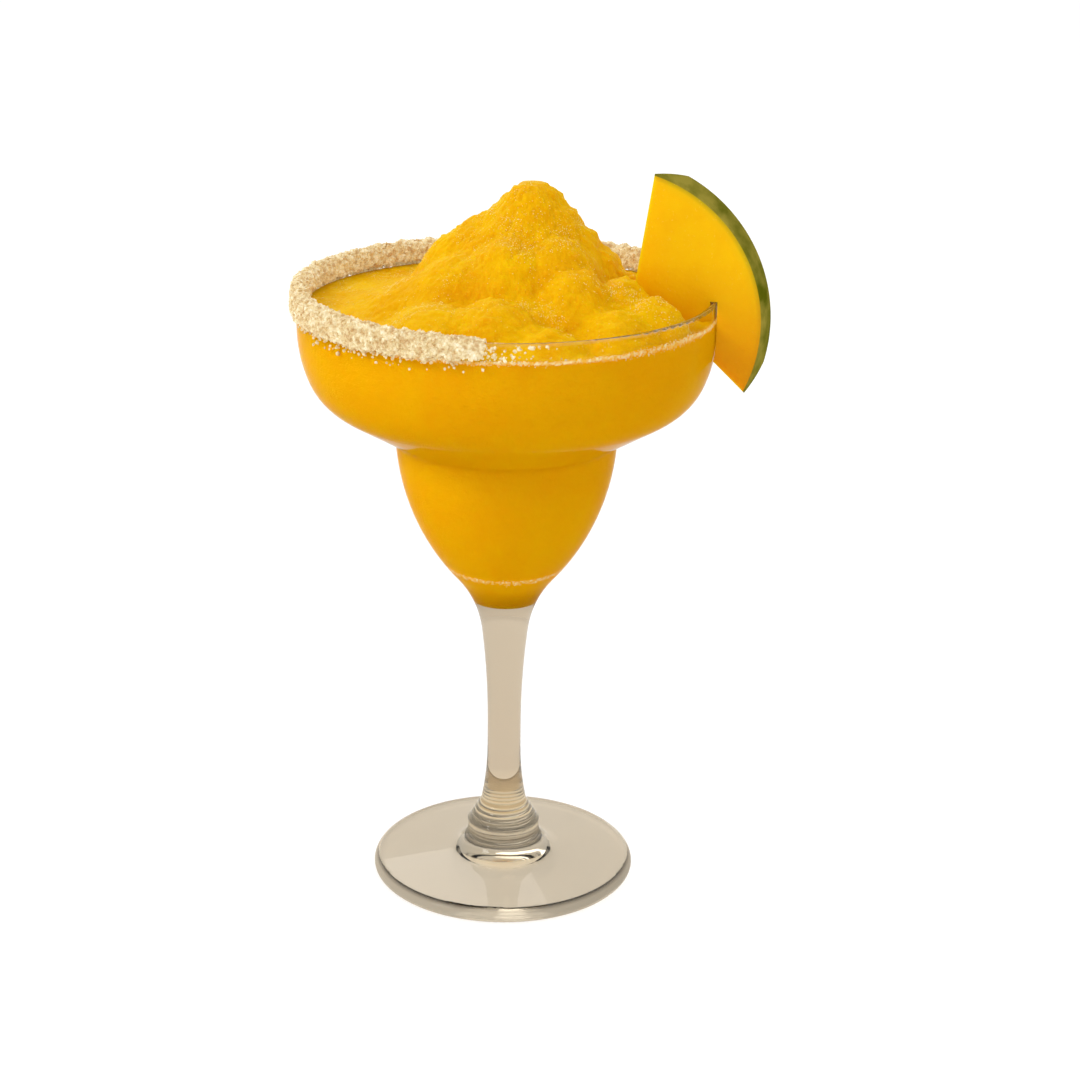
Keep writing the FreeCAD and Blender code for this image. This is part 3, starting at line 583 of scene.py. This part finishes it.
def top_heights(tree, wedge_tree, plan):
    """The drink's height at each place of the plan, carried on smoothly under the wedge."""
    rows, columns = plan.shape[:2]
    height = np.zeros((rows, columns))
    hidden = np.zeros((rows, columns), bool)
    down = Vector((0, 0, -1))
    limit = INNER_RADIUS - TOP_INSET
    for i in range(rows):
        for j in range(columns):
            x, y = plan[i, j]
            away = math.hypot(x, y)
            if away > limit:
                x, y = x * limit / away, y * limit / away
            start = Vector((x, y, ABOVE_ALL))
            hit = tree.ray_cast(start, down)[0]
            height[i, j] = hit.z if hit else np.nan
            hidden[i, j] = wedge_tree.ray_cast(start, down)[0] is not None
    grown = hidden.copy()
    for shift in (-1, 1):
        grown |= np.roll(hidden, shift, 0) | np.roll(hidden, shift, 1)
    hidden = grown | np.isnan(height)
    height[hidden] = RIM_HEIGHT
    for _ in range(UNDER_WEDGE_STEPS):
        height = np.where(hidden, neighbour_mean(height), height)
    return height


def soften(height):
    """The heights with their creases evened out."""
    for _ in range(CREASE_STEPS):
        height = neighbour_mean(height)
    return height


def roughen(plan, height):
    """Sharpens the creases, mostly at the right, then pushes clumps and icy grain outwards."""
    right = np.clip((plan[..., 0] - RIGHT_FROM) / RIGHT_WIDTH, 0, 1)
    sharper = CREASE_LEFT + (CREASE_RIGHT - CREASE_LEFT) * right
    height = height + sharper * (height - soften(height))
    points = np.concatenate([plan, height[..., None]], 2)
    along = np.roll(points, -1, 1) - np.roll(points, 1, 1)
    normal = np.cross(np.gradient(points, axis=0), along)
    normal /= np.linalg.norm(normal, axis=2)[..., None]
    rows, columns = height.shape
    for i in range(rows):
        inward = min(1.0, (rows - 1 - i) / EDGE_FADE_RINGS)
        for j in range(columns):
            spot = Vector(points[i, j]) / MM
            clump = abs(noise.noise(spot / CLUMP_SIZE)) - FOLD
            knob = abs(noise.noise(spot / KNOB_SIZE + KNOB_SHIFT)) - FOLD
            grain = noise.noise(spot / GRAIN_SIZE)
            fine = noise.noise(spot / FINE_SIZE + FINE_SHIFT)
            rise = (
                (CLUMP_HEIGHT + CLUMP_RIGHT * right[i, j]) * clump
                + (KNOB_HEIGHT + KNOB_RIGHT * right[i, j]) * knob
                + GRAIN_HEIGHT * grain
                + FINE_HEIGHT * fine
            )
            points[i, j] += normal[i, j] * MM * rise * inward
    return points


def make_slush():
    """The drink: its top, its side pressed just into the glass, and its foot in the cone."""
    tree, wedge_tree = tree_of("slush"), tree_of("mango_wedge")
    peak = max((v.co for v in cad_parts["slush"].data.vertices), key=lambda co: co.z)
    reach = INNER_RADIUS + INTO_WALL
    angle = 2 * math.pi * np.arange(SPOKES) / SPOKES
    wall = reach * np.stack([np.cos(angle), np.sin(angle)], 1)
    share = (np.arange(1, RINGS + 1) / RINGS)[:, None, None]
    plan = np.array([peak.x, peak.y]) * (1 - share) + wall[None] * share
    top = roughen(plan, top_heights(tree, wedge_tree, plan))
    top[..., 2] = np.minimum(top[..., 2], SLUSH_HIGH.z)
    profile = wall_profile(tree)
    level = top[-1, :, 2]
    side = []
    for radius, z in profile[1:]:
        side.append(np.stack([radius * np.cos(angle), radius * np.sin(angle), np.minimum(z, level)], 1))
    rows = np.concatenate([top, np.array(side)], 0)
    vertices = [(peak.x, peak.y, float(top[0, :, 2].mean()))] + [tuple(v) for v in rows.reshape(-1, 3)]
    faces = [(0, 1 + j, 1 + (j + 1) % SPOKES) for j in range(SPOKES)]
    faces += grid_faces(len(rows), SPOKES, 1)
    bottom = len(vertices)
    vertices.append((0, 0, FLOOR_HEIGHT - INTO_WALL))
    last = 1 + (len(rows) - 1) * SPOKES
    faces += [(bottom, last + (j + 1) % SPOKES, last + j) for j in range(SPOKES)]
    mound = slush_material("mango_slush", *SLUSH_TOP)
    piece = new_piece("slush_fill", vertices, faces, mound, "slush")
    # The side behind the glass gets the painted lighter, glowing copy of the drink's colour
    piece.data.materials.append(slush_material("slush_at_glass_painted_light", *SLUSH_SIDE_PAINTED_LIGHTER, SIDE_PAINTED_GLOW))
    edge = SPOKES * RINGS
    for number, face in enumerate(piece.data.polygons):
        face.material_index = 0 if number < edge else 1
    return vertices, faces[:edge]


# ---------------------------------------------------------------- grains

ICE_SEED, ICE_GRAINS = 5, 11000
ICE_SIZES = (0.14, 0.40)
ICE_PATCHES, ICE_LEAST, ICE_SHIFT, ICE_CONTRAST = 100, 0.06, 0.2, 1.5

# Bearings are in degrees round the glass from +X
SALT_FROM, SALT_TO = 11, 264
SALT_SEED, CRUST_GRAINS, LOOSE_GRAINS = 11, 11500, 3000
CRUST_CLEAR = 0.3 * MM
CRUST_SPREAD, CRUST_SIZES = (-0.55, 0.38), (0.25, 1.1)
LUMP_SCALE, LUMP_HEIGHT, CRUST_DEPTHS = 420, 0.5, (-0.25, 0.2)
CRUST_SECTOR, CRUST_LIP = 3, 0.5 * MM
LOOSE_BEFORE, LOOSE_BEYOND, LOOSE_FADE = 3, 22, 7
LOOSE_DROPS, LOOSE_EDGE = (0.2, 5.0), 3.5 * MM
LOOSE_UP, LOOSE_DOWN, LOOSE_PROUD = 0.8, 0.75, 0.1
LOOSE_SPREAD, LOOSE_SIZES = (-0.9, 0.4), (0.2, 0.8)

# Froth by the rim, and a ring of pale grains low in the cone that paints the highlight along the bowl's
# bend
FROTH_SEED, FROTH_AND_HIGHLIGHT_GRAINS = 3, 5200
FROTH_HIGH, PAINTED_HIGHLIGHT_HEIGHT = RIM_HEIGHT - 5.4 * MM, FLOOR_HEIGHT + 10.8 * MM
PAINTED_HIGHLIGHT_EVERY = 3
PAINTED_HIGHLIGHT_LIFT, PAINTED_HIGHLIGHT_SPREAD = 2.6 * MM, 0.42
FROTH_BEFORE, FROTH_BEYOND = 25, 94
FROTH_SPREAD, FROTH_WIDER, FROTH_WIDE_AT, FROTH_WIDE_OVER = 0.28, 0.25, 318, 16
FROTH_WAVE, FROTH_WAVES, FROTH_RISE_SCALE = 0.25, 9, 50
FROTH_DEPTHS, FROTH_SIZES = (0.05, 0.2), (0.2, 0.5)

GRAIN_CUT = 0.35
OUTSIDE = 0.1
CORNERS = np.array([(x, y, z) for x in (-1, 1) for y in (-1, 1) for z in (-1, 1)], float)
CUBE = [(0, 1, 3, 2), (4, 6, 7, 5), (0, 4, 5, 1), (2, 3, 7, 6), (0, 2, 6, 4), (1, 5, 7, 3)]
POINTS = np.array([(1, 0, 0), (-1, 0, 0), (0, 1, 0), (0, -1, 0), (0, 0, 1), (0, 0, -1)], float)
EIGHT = [(0, 2, 4), (2, 1, 4), (1, 3, 4), (3, 0, 4), (2, 0, 5), (1, 2, 5), (3, 1, 5), (0, 3, 5)]


def turns(count, dice):
    """Random rotation matrices."""
    q = dice.normal(size=(count, 4))
    q /= np.linalg.norm(q, axis=1)[:, None]
    w, x, y, z = q.T
    return np.stack([
        1 - 2 * (y * y + z * z), 2 * (x * y - z * w), 2 * (x * z + y * w),
        2 * (x * y + z * w), 1 - 2 * (x * x + z * z), 2 * (y * z - x * w),
        2 * (x * z - y * w), 2 * (y * z + x * w), 1 - 2 * (x * x + y * y),
    ], 1).reshape(count, 3, 3)


def make_grains(name, places, sizes, corners, sides, material, dice):
    """Loose crystals, one at each place, each turned and cut its own way."""
    count = len(places)
    body = corners[None] * (1 + dice.uniform(-GRAIN_CUT, GRAIN_CUT, (count, len(corners), 3)))
    body = np.einsum("nij,nkj->nki", turns(count, dice), body * sizes[:, None, None] / 2)
    body += places[:, None, :]
    low, high = np.array(CAD_BOX[0]), np.array(CAD_BOX[1])
    body = np.clip(body, low, high)
    faces = []
    for number in range(count):
        start = number * len(corners)
        faces += [tuple(start + k for k in side) for side in sides]
    new_piece(name, body.reshape(-1, 3), faces, material, smooth=False)


def scatter(vertices, faces, count, dice, weight=None):
    """Random places on a surface, with their outward directions. A weight makes some parts fuller."""
    corner = np.array(vertices)
    tris = np.array([(f[0], f[k], f[k + 1]) for f in faces for k in range(1, len(f) - 1)])
    a, b, c = corner[tris[:, 0]], corner[tris[:, 1]], corner[tris[:, 2]]
    cross = np.cross(b - a, c - a)
    area = np.linalg.norm(cross, axis=1)
    chance = area * (weight((a + b + c) / 3) if weight else 1)
    pick = dice.choice(len(tris), count, p=chance / chance.sum())
    u, v = dice.random(count), dice.random(count)
    flip = u + v > 1
    u[flip], v[flip] = 1 - u[flip], 1 - v[flip]
    places = a[pick] + u[:, None] * (b - a)[pick] + v[:, None] * (c - a)[pick]
    return places, cross[pick] / np.maximum(area[pick], 1e-15)[:, None]


def make_ice(vertices, faces):
    """Chips of ice lying in patches on the mound."""
    dice = np.random.default_rng(ICE_SEED)

    def patchy(middles):
        shares = [noise.noise(Vector(middle) * ICE_PATCHES) + ICE_SHIFT for middle in middles]
        return np.array([max(ICE_LEAST, share) ** ICE_CONTRAST for share in shares])

    places, _ = scatter(vertices, faces, ICE_GRAINS, dice, patchy)
    sizes = dice.uniform(*ICE_SIZES, ICE_GRAINS) * MM
    make_grains("ice_chips", places, sizes, POINTS, EIGHT, ice_material(), dice)


def wall_place(tree, bearing, height, outside):
    """The bowl's outer or inner wall at a bearing and height, and the way it faces there."""
    way = Vector((math.cos(bearing), math.sin(bearing), 0))
    if outside:
        hit, normal, _, _ = tree.ray_cast(way * OUTSIDE + Vector((0, 0, height)), -way)
    else:
        hit, normal, _, _ = tree.ray_cast(Vector((0, 0, height)), way)
    return hit, normal


def crust_grains(crust, glass_tree, dice):
    """Places and sizes of crystals on the crust, where it stands clear of the glass."""
    corners = [tuple(v.co) for v in crust.vertices]
    faces = [tuple(p.vertices) for p in crust.polygons]
    places, ways = scatter(corners, faces, CRUST_GRAINS * 2, dice)
    distances = [glass_tree.find_nearest(Vector(place))[3] for place in places]
    keep = [number for number, distance in enumerate(distances) if distance > CRUST_CLEAR]
    places, ways = places[keep][:CRUST_GRAINS], ways[keep][:CRUST_GRAINS]
    sizes = np.clip(dice.lognormal(*CRUST_SPREAD, len(places)), *CRUST_SIZES) * MM
    lumpy = np.array([noise.noise(Vector(place) * LUMP_SCALE) for place in places])
    depth = (dice.uniform(*CRUST_DEPTHS, len(places)) + LUMP_HEIGHT * lumpy) * MM
    return places + ways * depth[:, None], sizes


def loose_grains(crust, glass_tree, dice):
    """Places and sizes of crystals along the crust's lower edge and past its ends."""
    lowest = {}
    for vertex in crust.vertices:
        x, y, z = vertex.co
        way = int(math.degrees(math.atan2(y, x)) % 360) // CRUST_SECTOR
        if math.hypot(x, y) > RIM_RADIUS - CRUST_LIP:
            lowest[way] = min(lowest.get(way, 1), z)
    places = []
    while len(places) < LOOSE_GRAINS:
        degrees = dice.uniform(SALT_FROM - LOOSE_BEFORE, SALT_TO + LOOSE_BEYOND)
        past = max(0.0, degrees - SALT_TO, SALT_FROM - degrees)
        if dice.random() > math.exp(-past / LOOSE_FADE):
            continue
        edge = lowest.get(int(degrees % 360) // CRUST_SECTOR, RIM_HEIGHT - LOOSE_EDGE)
        if past > 0:
            height = RIM_HEIGHT - dice.uniform(*LOOSE_DROPS) * MM
        else:
            height = edge + (LOOSE_UP - dice.exponential(LOOSE_DOWN)) * MM
        hit, normal = wall_place(glass_tree, math.radians(degrees), height, True)
        if hit:
            places.append(hit + normal * LOOSE_PROUD * MM)
    sizes = np.clip(dice.lognormal(*LOOSE_SPREAD, len(places)), *LOOSE_SIZES) * MM
    return np.array(places), sizes


def make_salt():
    """Salt crystals over the crust, thinning out below it and along the bare rim."""
    dice = np.random.default_rng(SALT_SEED)
    glass_tree = tree_of("glass")
    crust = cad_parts["salt_rim"].data
    crust_places, crust_sizes = crust_grains(crust, glass_tree, dice)
    loose_places, loose_sizes = loose_grains(crust, glass_tree, dice)
    places = np.concatenate([crust_places, loose_places])
    sizes = np.concatenate([crust_sizes, loose_sizes])
    make_grains("salt_crystals", places, sizes, CORNERS, CUBE, salt_material(), dice)


def make_froth_and_highlight():
    """Fine dried froth on the inside of the glass by the rim, and a ring of the same pale grains low in
    the cone that paints a highlight along the bowl's bend.
    """
    dice = np.random.default_rng(FROTH_SEED)
    glass_tree = tree_of("glass")
    places = []
    while len(places) < FROTH_AND_HIGHLIGHT_GRAINS:
        # Every third grain goes to the painted highlight ring at the bowl's bend
        if len(places) % PAINTED_HIGHLIGHT_EVERY == 0:
            bearing = dice.uniform(0, 2 * math.pi)
            height = PAINTED_HIGHLIGHT_HEIGHT + PAINTED_HIGHLIGHT_LIFT * (1 - abs(math.sin(bearing))) ** 2
            spread = PAINTED_HIGHLIGHT_SPREAD
        else:
            degrees = dice.uniform(SALT_TO - FROTH_BEFORE, SALT_TO + FROTH_BEYOND)
            bearing, height = math.radians(degrees), FROTH_HIGH
            near = math.exp(-(((degrees - FROTH_WIDE_AT) / FROTH_WIDE_OVER) ** 2))
            spread = FROTH_SPREAD + FROTH_WIDER * near
        x, y = math.cos(bearing) * FROTH_WAVES, math.sin(bearing) * FROTH_WAVES
        wave = FROTH_WAVE * noise.noise(Vector((x, y, height * FROTH_RISE_SCALE)))
        height += (wave + dice.normal() * spread) * MM
        hit, _ = wall_place(glass_tree, bearing, height, False)
        if hit:
            out = Vector((hit.x, hit.y, 0)).normalized()
            places.append(hit + out * (INTO_WALL + dice.uniform(*FROTH_DEPTHS) * MM))
    places = np.array(places)
    sizes = dice.uniform(*FROTH_SIZES, len(places)) * MM
    make_grains("froth_and_painted_highlight_lines", places, sizes, POINTS, EIGHT, froth_and_highlight_material(), dice)


# ---------------------------------------------------------------- the mango piece

FRUIT_CENTRE, FRUIT_RADIUS = (28.69 * MM, 8.82 * MM, 168.6 * MM), 46.4 * MM
WELD, CRISP = 0.001 * MM, math.radians(30)


def make_wedge():
    """The mango piece: flat cut faces with crisp edges, and the fruit's round skin."""
    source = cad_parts["mango_wedge"].data
    vertices = [tuple(v.co) for v in source.vertices]
    faces = [tuple(p.vertices) for p in source.polygons]
    flesh = mango_material(FRUIT_CENTRE, FRUIT_RADIUS)
    piece = new_piece("mango_piece", vertices, faces, flesh, "mango_wedge")
    weld = bmesh.new()
    weld.from_mesh(piece.data)
    bmesh.ops.remove_doubles(weld, verts=weld.verts, dist=WELD)
    weld.to_mesh(piece.data)
    weld.free()
    piece.data.set_sharp_from_angle(angle=CRISP)


# ---------------------------------------------------------------- run

make_stage()
for node, material, slot in (
    ("glass", glass_material(), "clear_glass"),
    ("salt_rim", salt_material(), "salt"),
):
    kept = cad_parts[node]
    kept.data.materials.clear()
    kept.data.materials.append(material)
drink_points, drink_top = make_slush()
make_ice(drink_points, drink_top)
make_salt()
make_froth_and_highlight()
make_wedge()
